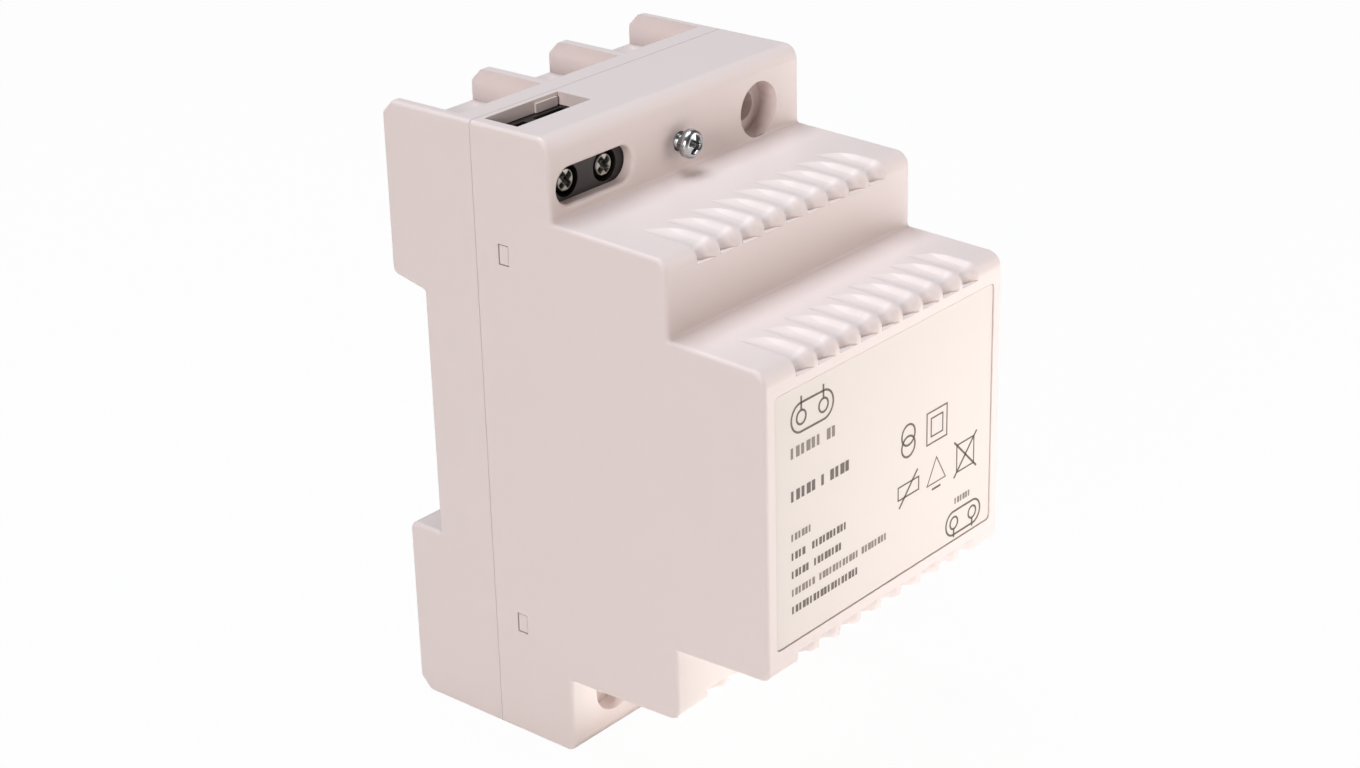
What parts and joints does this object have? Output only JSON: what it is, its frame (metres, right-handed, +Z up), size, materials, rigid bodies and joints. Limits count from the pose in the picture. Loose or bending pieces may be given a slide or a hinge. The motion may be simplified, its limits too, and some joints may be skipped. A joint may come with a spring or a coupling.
{
  "type": "doorbell transformer",
  "caption": "Stepped rail-mounted bell transformer in a pale housing with louvred shoulders, diagonal screw terminals, counterbored wall holes, a front label place and a sliding rail latch.",
  "frame": {"origin": "centre of the rail seat, on the flat face that the rail's lips touch", "axes": "+Z up across the rail, +Y backwards out of the rail seat, +X along the rail; the front looks along -Y"},
  "size_m": [0.052, 0.065, 0.09],
  "materials": {
    "housing_plastic": "fine spark-eroded matt, moulded",
    "label_film": "smooth printed film",
    "latch_plastic": "smooth moulded",
    "zinc_steel": "bluish zinc plating",
    "terminal_plastic": "moulded thermoset",
    "core_steel": "stacked silicon-steel laminations, varnished",
    "bobbin_plastic": "moulded nylon",
    "copper_wire": "enamelled copper wire",
    "tape_film": "polyester tape",
    "pin_brass": "tinned brass",
    "protector_plastic": "dipped ceramic disc",
    "primary_insulation": "extruded insulation",
    "secondary_insulation": "extruded insulation"
  },
  "bodies": {
    "housing": {"base": "housing_plastic", "cover": "housing_plastic", "front_label": "label_film", "cover_screws": "zinc_steel", "primary_terminal_block": "terminal_plastic", "secondary_terminal_block": "terminal_plastic", "primary_terminal_clamps": "zinc_steel", "secondary_terminal_clamps": "zinc_steel", "primary_terminal_screws": "zinc_steel", "secondary_terminal_screws": "zinc_steel", "transformer_core": "core_steel", "coil_bobbin": "bobbin_plastic", "primary_winding": "copper_wire", "secondary_winding": "copper_wire", "primary_tape": "tape_film", "secondary_tape": "tape_film", "bobbin_pins": "pin_brass", "overload_protector": "protector_plastic", "primary_leads": "primary_insulation", "secondary_leads": "secondary_insulation"},
    "latch": {"rail_latch": "latch_plastic"}
  },
  "joints": [
    {"name": "latch_slide", "type": "slide", "parent": "housing", "child": "latch", "axis": [0, 0, -1], "range_m": [0, 0.0035]}
  ]
}
